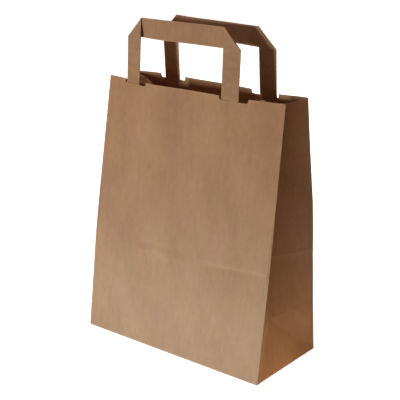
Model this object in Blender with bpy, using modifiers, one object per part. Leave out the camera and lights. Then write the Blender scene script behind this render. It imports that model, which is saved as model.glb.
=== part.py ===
"""Brown kraft carrier bag with a folded block bottom, side gussets and two flat paper handles.

Run with:  blender --background --python part.py

Metres, +Z up. The front panel faces -Y and the bag is widest along X. The origin lies on the
surface that the bag stands on, under the middle of its bottom.

A place on a panel is given in the flat sheet's own terms: x across the panel, and a height up
the sheet from the bottom fold. The functions under "The folded sheet" turn it into space.
"""

import math

import bmesh
import bpy
from mathutils import Vector

# The sheet
BAG_WIDTH = 0.220           # front and back panel, between their two upright folds
BASE_DEPTH = 0.100          # bottom, front fold to back fold; each gusset is as wide in the flat
SHEET_HEIGHT = 0.267        # bottom fold to the cut top edge, measured up the paper
PAPER = 0.0004              # wall
CREASE_HEIGHT = 0.110       # level crease round all four sides, from packing the bag flat

# How the opened bag stands: Y of the panels' upright folds at the level crease and at the mouth
CREASE_FRONT_LEFT_Y = -0.0355
CREASE_FRONT_RIGHT_Y = -0.0331
CREASE_BACK_LEFT_Y = 0.0440
CREASE_BACK_RIGHT_Y = 0.0445
MOUTH_FRONT_LEFT_Y = -0.0075
MOUTH_FRONT_RIGHT_Y = -0.0137
MOUTH_BACK_LEFT_Y = 0.0185
MOUTH_BACK_RIGHT_Y = 0.0205
BASE_TUCK = 0.0215          # how far the top of each gusset's bottom triangle leans in
FRONT_BULGE = 0.0065        # outward bow of the panels, greatest at the mouth
BACK_BULGE = 0.0045

# The folded bottom
FLAP_OVERLAP = 0.024        # glued band where the front flap lies over the back flap
FLAP_SETBACK = 0.0001       # flap edge to the folds round the bottom

# The handles: one flat strip each, turned over at 45 degree folds
STRIP_WIDTH = 0.0190
STRIP_THICKNESS = 0.0008
STRIP_FOLD_GAP = 0.0003     # air between the two layers at a corner fold
HANDLE_WIDTH = 0.140        # outside of leg to outside of leg
HANDLE_RISE = 0.0615        # top of the loop over the panel's top edge
LOOP_LEAN = 0.0035          # how far the loop leans in over that rise
LEG_TUCK = 0.042            # length of each leg inside the bag
FRONT_HANDLE_X = -0.0120    # middle of each handle on its panel
BACK_HANDLE_X = 0.0070
GLUE_GAP = 0.0003           # between layers that are glued face to face

# The notches in the top edge where the legs come out
NOTCH_WIDTH = 0.032
NOTCH_DEPTH = 0.0040
NOTCH_RADIUS = 0.0018

# The reinforcing patches over the legs' ends
PATCH_THICKNESS = 0.0004
PATCH_DROP = 0.0065         # top edge of the panel to top edge of the patch
PATCH_HEIGHT = 0.044
PATCH_SIDE_MARGIN = 0.012   # beyond the legs on each side
PATCH_RAMP = 0.0020         # width over which the patch steps over a leg
PATCH_CLEARANCE = 0.0005    # beside the leg, before the step starts

# How finely the curved paper is divided
PANEL_COLUMNS = 14
GUSSET_COLUMNS = 3
BASE_TRIANGLE_COLUMNS = 4
ROWS_BELOW_TRIANGLE_TOP = 4
ROWS_TO_CREASE = 3
ROWS_TO_MOUTH = 6
STRIP_STEP = 0.012
NOTCH_CORNER_STEPS = 4

# Worked out
HALF_WIDTH = BAG_WIDTH / 2
HALF_DEPTH = BASE_DEPTH / 2
BASE_LIFT = 2 * PAPER       # the two flap layers under the bottom's own layer

KRAFT_OUTSIDE = (0.445, 0.283, 0.162, 1.0)
KRAFT_HANDLE = (0.402, 0.250, 0.144, 1.0)
KRAFT_PATCH = (0.470, 0.305, 0.180, 1.0)
PAPER_ROUGHNESS = 0.85


# The folded sheet

def lerp(a, b, share):
    return a + (b - a) * share


def side_sign(side):
    """-1 for the front panel, which faces -Y, and +1 for the back panel."""
    return -1 if side == "front" else 1


def run_up(length, *sideways):
    """Rise of a stretch of paper of that length that also moves sideways."""
    return math.sqrt(length ** 2 - sum(move ** 2 for move in sideways))


def panel_profile(side, x):
    """The panel's side view at x, without its bulge: its bends as (height up the sheet, y)."""
    crease_left, crease_right, mouth_left, mouth_right = {
        "front": (CREASE_FRONT_LEFT_Y, CREASE_FRONT_RIGHT_Y, MOUTH_FRONT_LEFT_Y, MOUTH_FRONT_RIGHT_Y),
        "back": (CREASE_BACK_LEFT_Y, CREASE_BACK_RIGHT_Y, MOUTH_BACK_LEFT_Y, MOUTH_BACK_RIGHT_Y),
    }[side]
    across = (x + HALF_WIDTH) / BAG_WIDTH
    mouth = lerp(mouth_left, mouth_right, across)
    return [(0.0, side_sign(side) * HALF_DEPTH),
            (CREASE_HEIGHT, lerp(crease_left, crease_right, across)),
            (SHEET_HEIGHT, mouth),
            (SHEET_HEIGHT + HANDLE_RISE, mouth - side_sign(side) * LOOP_LEAN)]


def profile_point(side, x, height):
    """Y and Z at a height up the sheet, also past the mouth. The sheet keeps its length."""
    bends = panel_profile(side, x)
    z = BASE_LIFT
    for (low, low_y), (high, high_y) in zip(bends, bends[1:]):
        share = (height - low) / (high - low)
        if height <= high or high == bends[-1][0]:
            y = lerp(low_y, high_y, share)
            return y, z + run_up(height - low, y - low_y)
        z += run_up(high - low, high_y - low_y)


def bulge(side, x, height):
    """Outward bow of a panel: none at the bottom fold and at the upright folds."""
    across = 1.0 - (x / HALF_WIDTH) ** 2
    up = min(height / SHEET_HEIGHT, 1.0) ** 1.5
    return (FRONT_BULGE if side == "front" else BACK_BULGE) * across * up


def panel_point(side, x, height):
    """A place on the outside of the front or back panel, or on its plane above the mouth."""
    y, z = profile_point(side, x, height)
    return Vector((x, y + side_sign(side) * bulge(side, x, height), z))


def under_panel(side, x, height, depth):
    """A place at a depth under the panel's outside, square to the paper."""
    step = 0.001
    across = panel_point(side, x + step, height) - panel_point(side, x - step, height)
    up = panel_point(side, x, height + step) - panel_point(side, x, height - step)
    outward = across.cross(up).normalized()
    if outward.y * side_sign(side) < 0:
        outward.negate()
    return panel_point(side, x, height) - outward * depth


def gusset_fold_point(hand, height):
    """X and Y of a gusset's middle fold: both halves of the gusset keep their width."""
    front_y, _z = profile_point("front", hand * HALF_WIDTH, height)
    back_y, _z = profile_point("back", hand * HALF_WIDTH, height)
    tuck = run_up(HALF_DEPTH, (back_y - front_y) / 2)
    return hand * (HALF_WIDTH - tuck), (back_y + front_y) / 2


def gusset_fold(hand, heights):
    """The middle fold's places, from the top of the bottom triangle up to those heights."""
    triangle_top = run_up(HALF_DEPTH, BASE_TUCK)
    places = [Vector((hand * (HALF_WIDTH - BASE_TUCK), 0.0, BASE_LIFT + triangle_top))]
    for lower, upper in zip(heights, heights[1:]):
        x, y = gusset_fold_point(hand, upper)
        last = places[-1]
        z = last.z + run_up(upper - lower, x - last.x, y - last.y)
        places.append(Vector((x, y, z)))
    return places


def sheet_rows():
    """Heights up the sheet at which the walls are divided, with every crease on a row."""
    rows = [HALF_DEPTH * i / ROWS_BELOW_TRIANGLE_TOP for i in range(ROWS_BELOW_TRIANGLE_TOP)]
    rows += [lerp(HALF_DEPTH, CREASE_HEIGHT, i / ROWS_TO_CREASE) for i in range(ROWS_TO_CREASE)]
    rows += [lerp(CREASE_HEIGHT, SHEET_HEIGHT, i / ROWS_TO_MOUTH) for i in range(ROWS_TO_MOUTH + 1)]
    return rows


def gusset_row(hand, height, middle_fold):
    """One row of a gusset, from the front panel's fold to the back panel's."""
    front = panel_point("front", hand * HALF_WIDTH, height)
    back = panel_point("back", hand * HALF_WIDTH, height)
    if height < HALF_DEPTH:
        share = height / HALF_DEPTH
        front_crease = panel_point("front", hand * HALF_WIDTH, 0.0).lerp(middle_fold[HALF_DEPTH], share)
        back_crease = panel_point("back", hand * HALF_WIDTH, 0.0).lerp(middle_fold[HALF_DEPTH], share)
    else:
        front_crease = back_crease = middle_fold[height]
    row = [front.lerp(front_crease, i / GUSSET_COLUMNS) for i in range(1, GUSSET_COLUMNS)]
    row += [front_crease.lerp(back_crease, i / BASE_TRIANGLE_COLUMNS)
            for i in range(BASE_TRIANGLE_COLUMNS + 1)]
    row += [back_crease.lerp(back, i / GUSSET_COLUMNS) for i in range(1, GUSSET_COLUMNS)]
    return row


def panel_row(side, height):
    """One row of a panel from left to right, both upright folds included."""
    xs = [lerp(-HALF_WIDTH, HALF_WIDTH, i / PANEL_COLUMNS) for i in range(PANEL_COLUMNS + 1)]
    return [panel_point(side, x, height) for x in xs]


# Blender helpers

def clear_scene():
    for obj in list(bpy.data.objects):
        bpy.data.objects.remove(obj, do_unlink=True)


def make_collection(name):
    collection = bpy.data.collections.new(name)
    bpy.context.scene.collection.children.link(collection)
    return collection


def paper_material(name, colour):
    material = bpy.data.materials.new(name)
    material.use_nodes = True
    shader = material.node_tree.nodes["Principled BSDF"]
    shader.inputs["Base Color"].default_value = colour
    shader.inputs["Roughness"].default_value = PAPER_ROUGHNESS
    shader.inputs["Metallic"].default_value = 0.0
    return material


def object_from_bmesh(name, bm, collection, material=None):
    mesh = bpy.data.meshes.new(name)
    bm.to_mesh(mesh)
    bm.free()
    obj = bpy.data.objects.new(name, mesh)
    collection.objects.link(obj)
    if material:
        mesh.materials.append(material)
    return obj


def add_thickness(obj, thickness):
    """Solid paper on the inner side of an open surface."""
    solidify = obj.modifiers.new("paper thickness", "SOLIDIFY")
    solidify.thickness = thickness
    solidify.offset = -1.0
    solidify.use_even_offset = True
    return solidify


def add_boolean(obj, other, operation):
    boolean = obj.modifiers.new(f"{operation.lower()} {other.name}", "BOOLEAN")
    boolean.operation = operation
    boolean.solver = "EXACT"
    boolean.object = other
    return boolean


def set_as_cutter(obj):
    obj.hide_render = True
    obj.display_type = "WIRE"


def prism(name, near, far, collection):
    """A closed solid between two outlines with as many points each, near one first."""
    bm = bmesh.new()
    near_verts = [bm.verts.new(point) for point in near]
    far_verts = [bm.verts.new(point) for point in far]
    bm.faces.new(near_verts)
    bm.faces.new(list(reversed(far_verts)))
    count = len(near)
    for i in range(count):
        j = (i + 1) % count
        bm.faces.new((near_verts[j], near_verts[i], far_verts[i], far_verts[j]))
    bmesh.ops.recalc_face_normals(bm, faces=bm.faces)
    obj = object_from_bmesh(name, bm, collection)
    set_as_cutter(obj)
    return obj


# The body: one folded sheet

def nearest_corner(point):
    """The corner of the bottom next to a place on its folds, which are straight between corners."""
    return Vector((math.copysign(HALF_WIDTH, point.x), math.copysign(HALF_DEPTH, point.y), point.z))


def body_surface():
    """The outside of the walls and the bottom as one open surface, faces pointing out.

    The lowest row keeps only the four corners, so the faces above it fan out from them.
    """
    heights = sheet_rows()
    upper = [height for height in heights if height >= HALF_DEPTH]
    folds = {hand: dict(zip(upper, gusset_fold(hand, upper))) for hand in (-1, 1)}
    bm = bmesh.new()
    rows = []
    for height in heights:
        loop = panel_row("front", height)
        loop += gusset_row(1, height, folds[1])
        loop += list(reversed(panel_row("back", height)))
        loop += list(reversed(gusset_row(-1, height, folds[-1])))
        if height == 0.0:
            loop = [nearest_corner(point) for point in loop]
        rows.append([bm.verts.new(point) for point in loop])
    count = len(rows[0])
    for low, high in zip(rows, rows[1:]):
        for i in range(count):
            j = (i + 1) % count
            bm.faces.new((low[i], low[j], high[j], high[i]))
    bm.faces.new(list(reversed(rows[0])))
    bmesh.ops.remove_doubles(bm, verts=bm.verts, dist=1e-6)
    return bm


def bottom_flap(side, collection):
    """A flap of the bottom: it narrows at 45 degrees, because the ears beside it fold in first.

    The front flap is the outer one. The back flap ends one layer higher, under it.
    """
    reach = HALF_DEPTH + FLAP_OVERLAP / 2 - FLAP_SETBACK
    fold_edge = HALF_DEPTH - FLAP_SETBACK
    half = HALF_WIDTH - FLAP_SETBACK
    sign = side_sign(side)
    outline = [(-half, sign * fold_edge), (half, sign * fold_edge),
               (half - reach, sign * (fold_edge - reach)), (-half + reach, sign * (fold_edge - reach))]
    underside = 0.0 if side == "front" else PAPER
    inside_base = BASE_LIFT + PAPER / 2
    lower = [Vector((x, y, underside)) for x, y in outline]
    upper = [Vector((x, y, inside_base)) for x, y in outline]
    return prism(f"{side}_bottom_flap", lower, upper, collection)


def notch_outline(x_middle):
    """The notch in sheet terms: open at the top, with rounded lower corners."""
    left, right = x_middle - NOTCH_WIDTH / 2, x_middle + NOTCH_WIDTH / 2
    top = SHEET_HEIGHT + NOTCH_DEPTH
    floor = SHEET_HEIGHT - NOTCH_DEPTH
    corner = []
    for i in range(NOTCH_CORNER_STEPS + 1):
        turn = math.pi / 2 * i / NOTCH_CORNER_STEPS
        corner.append((NOTCH_RADIUS * (1 - math.cos(turn)), floor + NOTCH_RADIUS * (1 - math.sin(turn))))
    left_side = [(left + inward, height) for inward, height in corner]
    right_side = [(right - inward, height) for inward, height in reversed(corner)]
    return [(left, top)] + left_side + right_side + [(right, top)]


def notch_cutter(name, side, x_middle, collection):
    """A plug through one panel only: it stops short of the gusset behind it."""
    reach = 5 * PAPER
    outline = notch_outline(x_middle)
    near = [under_panel(side, x, height, -reach) for x, height in outline]
    far = [under_panel(side, x, height, PAPER + reach) for x, height in outline]
    return prism(name, near, far, collection)


def leg_middles(handle_x):
    """Middle of the left and the right leg."""
    half = (HANDLE_WIDTH - STRIP_WIDTH) / 2
    return handle_x - half, handle_x + half


def make_body(parts, cutters, material):
    body = object_from_bmesh("bag_body", body_surface(), parts, material)
    add_thickness(body, PAPER)
    for side in ("back", "front"):
        add_boolean(body, bottom_flap(side, cutters), "UNION")
    for side, handle_x in (("front", FRONT_HANDLE_X), ("back", BACK_HANDLE_X)):
        for hand, x in zip(("left", "right"), leg_middles(handle_x)):
            add_boolean(body, notch_cutter(f"{side}_{hand}_notch", side, x, cutters), "DIFFERENCE")
    return body


# The handles: each is one folded strip

def steps_between(start, end):
    """Even stops from start to end, both included, no further apart than STRIP_STEP."""
    count = max(1, math.ceil(abs(end - start) / STRIP_STEP))
    return [lerp(start, end, i / count) for i in range(count + 1)]


def strip_stations(handle_x):
    """The strip's two edges, stop by stop, as (outer edge, inner edge, layer).

    Each edge is (x, height). The legs are layer 0, next to the panel, and the bar is layer 1.
    A leg's outer edge becomes the bar's lower edge where the strip turns over.
    """
    left, right = handle_x - HANDLE_WIDTH / 2, handle_x + HANDLE_WIDTH / 2
    top = SHEET_HEIGHT + HANDLE_RISE
    shoulder = top - STRIP_WIDTH
    foot = SHEET_HEIGHT - LEG_TUCK
    left_inner, right_inner = left + STRIP_WIDTH, right - STRIP_WIDTH

    left_leg = [((left, height), (left_inner, height), 0) for height in steps_between(foot, shoulder)]
    left_turn = [((left, shoulder), (left_inner, top), layer) for layer in (0, 1)]
    bar = [((x, shoulder), (x, top), 1) for x in steps_between(left_inner, right_inner)]
    right_turn = [((right, shoulder), (right_inner, top), layer) for layer in (1, 0)]
    right_leg = [((right, height), (right_inner, height), 0) for height in steps_between(shoulder, foot)]
    return left_leg + left_turn + bar + right_turn + right_leg


def make_handle(name, side, handle_x, parts, material):
    """The strip's outer skin, one ladder of faces from foot to foot, then made solid inward."""
    skin_depth = (PAPER + GLUE_GAP, PAPER + GLUE_GAP + 2 * STRIP_THICKNESS + STRIP_FOLD_GAP)
    bm = bmesh.new()
    rungs = []
    for outer, inner, layer in strip_stations(handle_x):
        depth = skin_depth[layer]
        rungs.append((bm.verts.new(under_panel(side, *outer, depth)),
                      bm.verts.new(under_panel(side, *inner, depth))))
    for (outer, inner), (next_outer, next_inner) in zip(rungs, rungs[1:]):
        face = (outer, inner, next_inner, next_outer)
        bm.faces.new(face if side == "front" else tuple(reversed(face)))
    bmesh.ops.remove_doubles(bm, verts=bm.verts, dist=1e-6)
    handle = object_from_bmesh(name, bm, parts, material)
    add_thickness(handle, STRIP_THICKNESS)
    return handle


# The patches: one rectangle each, glued over the legs' ends

def patch_columns(handle_x):
    """Stops across the patch as (x, True where it lies over a leg)."""
    edge = HANDLE_WIDTH / 2 + PATCH_SIDE_MARGIN
    over = STRIP_WIDTH / 2 + PATCH_CLEARANCE
    left_leg, right_leg = leg_middles(handle_x)
    columns = [(handle_x - edge, False)]
    for leg in (left_leg, right_leg):
        columns += [(leg - over - PATCH_RAMP, False), (leg - over, True)]
        columns += [(leg + over, True), (leg + over + PATCH_RAMP, False)]
    between = steps_between(left_leg + over + PATCH_RAMP, right_leg - over - PATCH_RAMP)[1:-1]
    columns += [(x, False) for x in between]
    columns.append((handle_x + edge, False))
    return sorted(columns)


def make_patch(name, side, handle_x, parts, material):
    """The patch's inner face lies on the panel beside the legs and steps over each leg."""
    on_panel = PAPER + GLUE_GAP
    over_leg = on_panel + STRIP_THICKNESS + GLUE_GAP
    top = SHEET_HEIGHT - PATCH_DROP
    heights = steps_between(top - PATCH_HEIGHT, top)
    bm = bmesh.new()
    rows = []
    for height in heights:
        rows.append([bm.verts.new(under_panel(side, x, height, over_leg if raised else on_panel))
                     for x, raised in patch_columns(handle_x)])
    for low, high in zip(rows, rows[1:]):
        for i in range(len(low) - 1):
            face = (low[i], low[i + 1], high[i + 1], high[i])
            bm.faces.new(face if side == "front" else tuple(reversed(face)))
    patch = object_from_bmesh(name, bm, parts, material)
    add_thickness(patch, PATCH_THICKNESS)
    return patch


def main():
    clear_scene()
    parts = make_collection("paper_carrier_bag")
    cutters = make_collection("cutters")
    body_paper = paper_material("kraft outside", KRAFT_OUTSIDE)
    handle_paper = paper_material("kraft handle strip", KRAFT_HANDLE)
    patch_paper = paper_material("kraft patch", KRAFT_PATCH)
    make_body(parts, cutters, body_paper)
    for side, handle_x in (("front", FRONT_HANDLE_X), ("back", BACK_HANDLE_X)):
        make_handle(f"{side}_handle", side, handle_x, parts, handle_paper)
        make_patch(f"{side}_handle_patch", side, handle_x, parts, patch_paper)


main()
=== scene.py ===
"""Brown kraft carrier bag: the finished look of its folded sheet, handles and patches.

Metres, +Z up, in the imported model's own frame. A place on the bag is given in the flat sheet's
terms: x across a panel, or a distance round a gusset, and a height up the sheet from the bottom fold.
"""

import math

import bmesh
import bpy
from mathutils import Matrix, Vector, noise


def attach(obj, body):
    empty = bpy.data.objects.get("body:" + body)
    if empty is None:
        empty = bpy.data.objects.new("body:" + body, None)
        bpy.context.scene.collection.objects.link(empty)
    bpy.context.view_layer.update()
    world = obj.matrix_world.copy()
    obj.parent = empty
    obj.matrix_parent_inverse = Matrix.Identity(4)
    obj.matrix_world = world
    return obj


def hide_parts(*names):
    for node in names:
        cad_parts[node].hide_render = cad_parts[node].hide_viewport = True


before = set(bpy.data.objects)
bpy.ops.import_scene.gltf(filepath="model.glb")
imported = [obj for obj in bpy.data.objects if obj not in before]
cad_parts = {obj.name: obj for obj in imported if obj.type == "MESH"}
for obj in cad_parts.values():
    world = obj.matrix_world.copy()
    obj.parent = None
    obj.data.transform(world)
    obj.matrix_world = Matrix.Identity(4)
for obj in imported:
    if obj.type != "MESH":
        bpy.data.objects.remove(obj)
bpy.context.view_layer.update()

# The sheet
BAG_WIDTH = 0.220
BASE_DEPTH = 0.100
SHEET_HEIGHT = 0.267
CREASE_HEIGHT = 0.110
PAPER = 0.0004  # one layer, with the air beside it
PAPER_WALL = 0.00036  # the paper itself
HALF_WIDTH = BAG_WIDTH / 2
HALF_DEPTH = BASE_DEPTH / 2
GIRTH = 2 * (BAG_WIDTH + BASE_DEPTH)
FACES = ("front", "right", "back", "left")  # in their order round the bag
CORNERS = (0.0, BAG_WIDTH, BAG_WIDTH + BASE_DEPTH, 2 * BAG_WIDTH + BASE_DEPTH, GIRTH)  # where they meet
HANDS = {"right": 1, "left": -1}

# How the opened bag stands: Y of the panels' upright folds at the crease and at the mouth
CREASE_Y = {"front": (-0.0355, -0.0331), "back": (0.0440, 0.0445)}
MOUTH_Y = {"front": (-0.0075, -0.0137), "back": (0.0185, 0.0205)}
OUTWARD = {"front": -1, "back": 1}
BASE_TUCK = 0.0215
BOW = {"front": 0.0065, "back": 0.0045}
BOW_GROWTH = 1.5  # with the height, as a power
LOOP_LEAN = 0.0035

# The paper's softness
FOLD_SOFTNESS = 0.00045  # half the width of a fold
BEND_SOFTNESS = 0.024  # half the stretch over which a panel bends at the level crease
MOUTH_SOFTNESS = 0.004  # the same at the mouth

# Where a panel's bow is fuller, as (how much, x, width, how fast it grows), and its slow ripples
FULLER_BOW = {"front": ((0.0025, 0.056, 0.030, 2), (0.0042, -0.042, 0.028, 4), (0.0012, 0.0, 0.050, 3)),
              "back": ((0.0050, -0.070, 0.036, 3), (-0.0055, 0.070, 0.032, 3))}
FULLER_BOW_HELD = 2.5  # how soon it comes in from the panel's folds
RIPPLE = 0.0007
RIPPLE_LENGTH = 0.085
RIPPLE_SQUEEZE = 0.8  # upright, against sideways
RIPPLE_PATTERN = 3.1  # keeps the two panels' ripples apart
RIPPLE_HELD = (8.0, 3.0)  # how soon they come in from the bottom and from the folds

# How the back panel's right fold strays outward, as (height up the sheet, distance)
BACK_FOLD_DRIFT = ((0.0, 0.0), (0.030, -0.0008), (0.057, -0.0016), (0.110, -0.0025), (0.135, -0.0006),
                   (0.161, 0.0012), (0.210, 0.0018), (0.234, 0.0022), (0.267, 0.0029), (0.330, 0.0029))
BACK_DRIFT_ACROSS = (0.020, 0.090)  # x where it starts, and the stretch over which it grows
BACK_SAG = 0.0006  # how much lower the back panel's right end stands at the mouth
BACK_SAG_ACROSS = (0.052, 0.035)

# How a gusset's halves bow outward at the mouth, and how its middle fold strays there
GUSSET_BOW = {(1, "front"): 0.0, (1, "back"): 0.0065, (-1, "front"): 0.0, (-1, "back"): -0.0050}
GUSSET_SAG = {(1, "back"): 0.0038}
FOLD_DRIFT = {1: (0.0, 0.0, 0.0), -1: (0.0025, -0.0060, -0.0020)}
FOLD_STEPS = (3, 12)  # that it is worked out in, below and above the level crease

# The handles
STRIP_WIDTH = 0.0190
STRIP_THICKNESS = 0.0008
STRIP_FOLD_GAP = 0.0003
HANDLE_WIDTH = 0.140
HANDLE_RISE = 0.0615
LEG_TUCK = 0.042
HANDLE_X = {"front": -0.0110, "back": 0.0070}
HANDLE_SPREAD = {"front": 1.028, "back": 1.012}  # against the even loop
HANDLE_TILT = {"front": (0.0003, 0.0012), "back": (0.0008, -0.0006)}  # rise of the loop's two ends
CORNER_OPENING = {"front": (0.0030, 0.0008), "back": (0.0010, 0.0012)}  # of the two corner folds
OPENING_GROWS, OPENING_FADES = 0.015, 0.080  # past the fold, along the bar
GLUE_GAP = 0.00008
STRIP_UNEVENNESS, WAVES_ALONG, WAVES_ACROSS = 0.00012, 45.0, 60.0
STRIP_LAYERS = 4
LAYER_GROOVE = 0.00009
LAYER_BULGE = 0.00004
ROUND_EDGE = 0.00018  # how far the strip's folded edge bulges

# The notches round the legs
NOTCH_WIDTH = 0.032
NOTCH_DEPTH = 0.0040
NOTCH_RADIUS = 0.0018
NOTCH_SHIFT = {"front": (0.0044, 0.0046), "back": (0.0, -0.0045)}  # from the middle of each leg

# The patches
PATCH_THICKNESS = 0.0004
PATCH_DROP = 0.0065
PATCH_HEIGHT = 0.044
PATCH_SIDE_MARGIN = 0.012
PATCH_RAMP = 0.0020
PATCH_CLEARANCE = 0.0005
PATCH_OFF_PANEL = 0.00006
PATCH_OFF_LEG = 0.00012
PATCH_CRINKLE, CRINKLES_ACROSS, CRINKLES_UP = 0.00007, 70.0, 55.0
PATCH_PATTERN = 1.3  # keeps its fibres apart from the body's

# The folded bottom
FLAP_OVERLAP = 0.024
FLAP_REACH = HALF_DEPTH + FLAP_OVERLAP / 2
SIDE_LAYER = {"front": 0.0, "back": PAPER, "right": 2 * PAPER, "left": 2 * PAPER}
LAYER_BLEND = 0.008  # along the bottom fold, from one layer's level to the next
LAYER_RISE = 0.012  # height up the wall over which that level is evened out
EAR_SLIMMER = 0.004  # share by which an ear is narrower than its fold
EAR_SLIMMER_RAMP = 0.002

# The glued seam: the sheet's end lies over its start, near a fold of the back panel
SEAM_X = 0.0935
SEAM_STEP = 0.00022
SEAM_RAMP = 0.0008
SEAM_END = 0.006  # from the panel's fold, where it is covered
SEAM_END_RAMP = 0.005

# The mesh: the widest step between its lines, and the first step beside a fold or an edge
PANEL_STEP, GUSSET_STEP, FOOT_STEP, WALL_STEP, FLAP_STEP = 0.0042, 0.0040, 0.0040, 0.0046, 0.0060
STRIP_STEP, STRIP_CROSS_STEP, PATCH_STEP, PATCH_ROW_STEP = 0.0036, 0.0030, 0.0036, 0.0034
FIRST_STEP, FIRST_FOOT_STEP, FIRST_PANEL_STEP, FIRST_STRIP_STEP = 0.0006, 0.0005, 0.0008, 0.0007
STEP_GROWTH = 1.7

# The camera, solved from the photograph's corners and folds
VIEW_AZIMUTH = 38.52
VIEW_ELEVATION = 18.32
VIEW_DISTANCE = 1.0145
VIEW_TARGET = (0.00115, 0.0, 0.14997)
VIEW_FOCAL_SHARE = 1015.75 / 400  # focal length over the picture's width
SENSOR_WIDTH = 36.0


# The folded sheet

def lerp(a, b, share):
    return a + (b - a) * share


def smooth(share):
    share = min(max(share, 0.0), 1.0)
    return share * share * (3.0 - 2.0 * share)


def ramp(place, start, stretch):
    return smooth((place - start) / stretch)


def bell(offset, width):
    """1 at no offset, falling away over about that width."""
    return math.exp(-(offset / width) ** 2)


def share_up(height):
    """A height as a share of the sheet's, held between its bottom fold and its cut edge."""
    return min(max(height, 0.0) / SHEET_HEIGHT, 1.0)


def run_up(length, *sideways):
    """Rise of a stretch of paper of that length that also moves sideways."""
    return math.sqrt(length ** 2 - sum(move ** 2 for move in sideways))


def panel_profile(side, x):
    """The panel's side view at x, without its bow: its bends as (height up the sheet, y)."""
    across = (x + HALF_WIDTH) / BAG_WIDTH
    mouth = lerp(*MOUTH_Y[side], across)
    return ((0.0, OUTWARD[side] * HALF_DEPTH),
            (CREASE_HEIGHT, lerp(*CREASE_Y[side], across)),
            (SHEET_HEIGHT, mouth),
            (SHEET_HEIGHT + HANDLE_RISE, mouth - OUTWARD[side] * LOOP_LEAN))


def between_stops(stops, place):
    """Straight-line reading of a table of (place, value)."""
    for (low, low_value), (high, high_value) in zip(stops, stops[1:]):
        if place <= high:
            return lerp(low_value, high_value, (place - low) / (high - low))
    return stops[-1][1]


def soft_bend(past, half):
    """0 before a bend and the distance past it beyond, rounded over half that stretch on each side."""
    if past <= -half:
        return 0.0
    return past if past >= half else (past + half) ** 2 / (4 * half)


def profile_point(side, x, height):
    """Y and Z at a height up the sheet, also past the mouth. The sheet keeps its length."""
    bends = panel_profile(side, x)
    slopes = [(high_y - low_y) / (high - low) for (low, low_y), (high, high_y) in zip(bends, bends[1:])]
    y = bends[0][1] + slopes[0] * height
    for (bend, _y), below, above in zip(bends[1:], slopes, slopes[1:]):
        softness = BEND_SOFTNESS if bend < SHEET_HEIGHT else MOUTH_SOFTNESS
        y += (above - below) * soft_bend(height - bend, softness)
    z = 2 * PAPER
    for (low, _y), (high, _y), slope in zip(bends, bends[1:], slopes):
        stretch = height - low if height <= high or high == bends[-1][0] else high - low
        z += stretch * math.sqrt(1.0 - slope ** 2)
        if height <= high:
            break
    if side == "back":
        y += between_stops(BACK_FOLD_DRIFT, max(height, 0.0)) * ramp(x, *BACK_DRIFT_ACROSS)
    return y, z


def bow(side, x, height):
    """Outward bow of a panel: the even one, its fuller places, and slow ripples."""
    up = share_up(height)
    inside = max(1.0 - (x / HALF_WIDTH) ** 2, 0.0)
    out = BOW[side] * inside * up ** BOW_GROWTH
    for size, middle, width, growth in FULLER_BOW[side]:
        out += size * bell(x - middle, width) * min(inside * FULLER_BOW_HELD, 1.0) * up ** growth
    place = Vector((x, RIPPLE_PATTERN * OUTWARD[side], height * RIPPLE_SQUEEZE)) / RIPPLE_LENGTH
    held = smooth(up * RIPPLE_HELD[0]) * min(inside * RIPPLE_HELD[1], 1.0)
    return out + RIPPLE * noise.noise(place) * held


def panel_point(side, x, height):
    """A place on the outside of the front or back panel, or on its plane above the mouth."""
    y, z = profile_point(side, x, height)
    if side == "back":
        z -= BACK_SAG * ramp(x, *BACK_SAG_ACROSS) * share_up(height) ** 4
    return Vector((x, y + OUTWARD[side] * bow(side, x, height), z))


def under_panel(side, x, height, depth):
    """A place at a depth under the panel's outside, square to the paper."""
    step = 0.001
    across = panel_point(side, x + step, height) - panel_point(side, x - step, height)
    up = panel_point(side, x, height + step) - panel_point(side, x, height - step)
    outward = across.cross(up).normalized()
    if outward.y * OUTWARD[side] < 0:
        outward.negate()
    return panel_point(side, x, height) - outward * depth


def fold_chain(hand):
    """A gusset's middle fold as (height, place), from the top of its bottom triangle to the rim."""
    place = Vector((hand * (HALF_WIDTH - BASE_TUCK), 0.0, 2 * PAPER + run_up(HALF_DEPTH, BASE_TUCK)))
    chain = [(HALF_DEPTH, place)]
    low, high = FOLD_STEPS
    heights = [lerp(HALF_DEPTH, CREASE_HEIGHT, i / low) for i in range(1, low + 1)]
    heights += [lerp(CREASE_HEIGHT, SHEET_HEIGHT, i / high) for i in range(1, high + 1)]
    for height in heights:
        front_y, _z = profile_point("front", hand * HALF_WIDTH, height)
        back_y, _z = profile_point("back", hand * HALF_WIDTH, height)
        tuck = run_up(HALF_DEPTH, (back_y - front_y) / 2)
        below_height, below = chain[-1]
        x, y = hand * (HALF_WIDTH - tuck), (back_y + front_y) / 2
        z = below.z + run_up(height - below_height, x - below.x, y - below.y)
        chain.append((height, Vector((x, y, z))))
    drift = Vector(FOLD_DRIFT[hand])
    return [(height, place + drift * (height / SHEET_HEIGHT) ** 3) for height, place in chain]


FOLD_CHAINS = {hand: fold_chain(hand) for hand in (-1, 1)}


def gusset_fold(hand, height):
    """A place on a gusset's middle fold, at or above the top of its bottom triangle."""
    chain = FOLD_CHAINS[hand]
    upper = next((i for i in range(1, len(chain)) if height <= chain[i][0]), len(chain) - 1)
    (low, low_place), (high, high_place) = chain[upper - 1], chain[upper]
    return low_place.lerp(high_place, (height - low) / (high - low))


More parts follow.
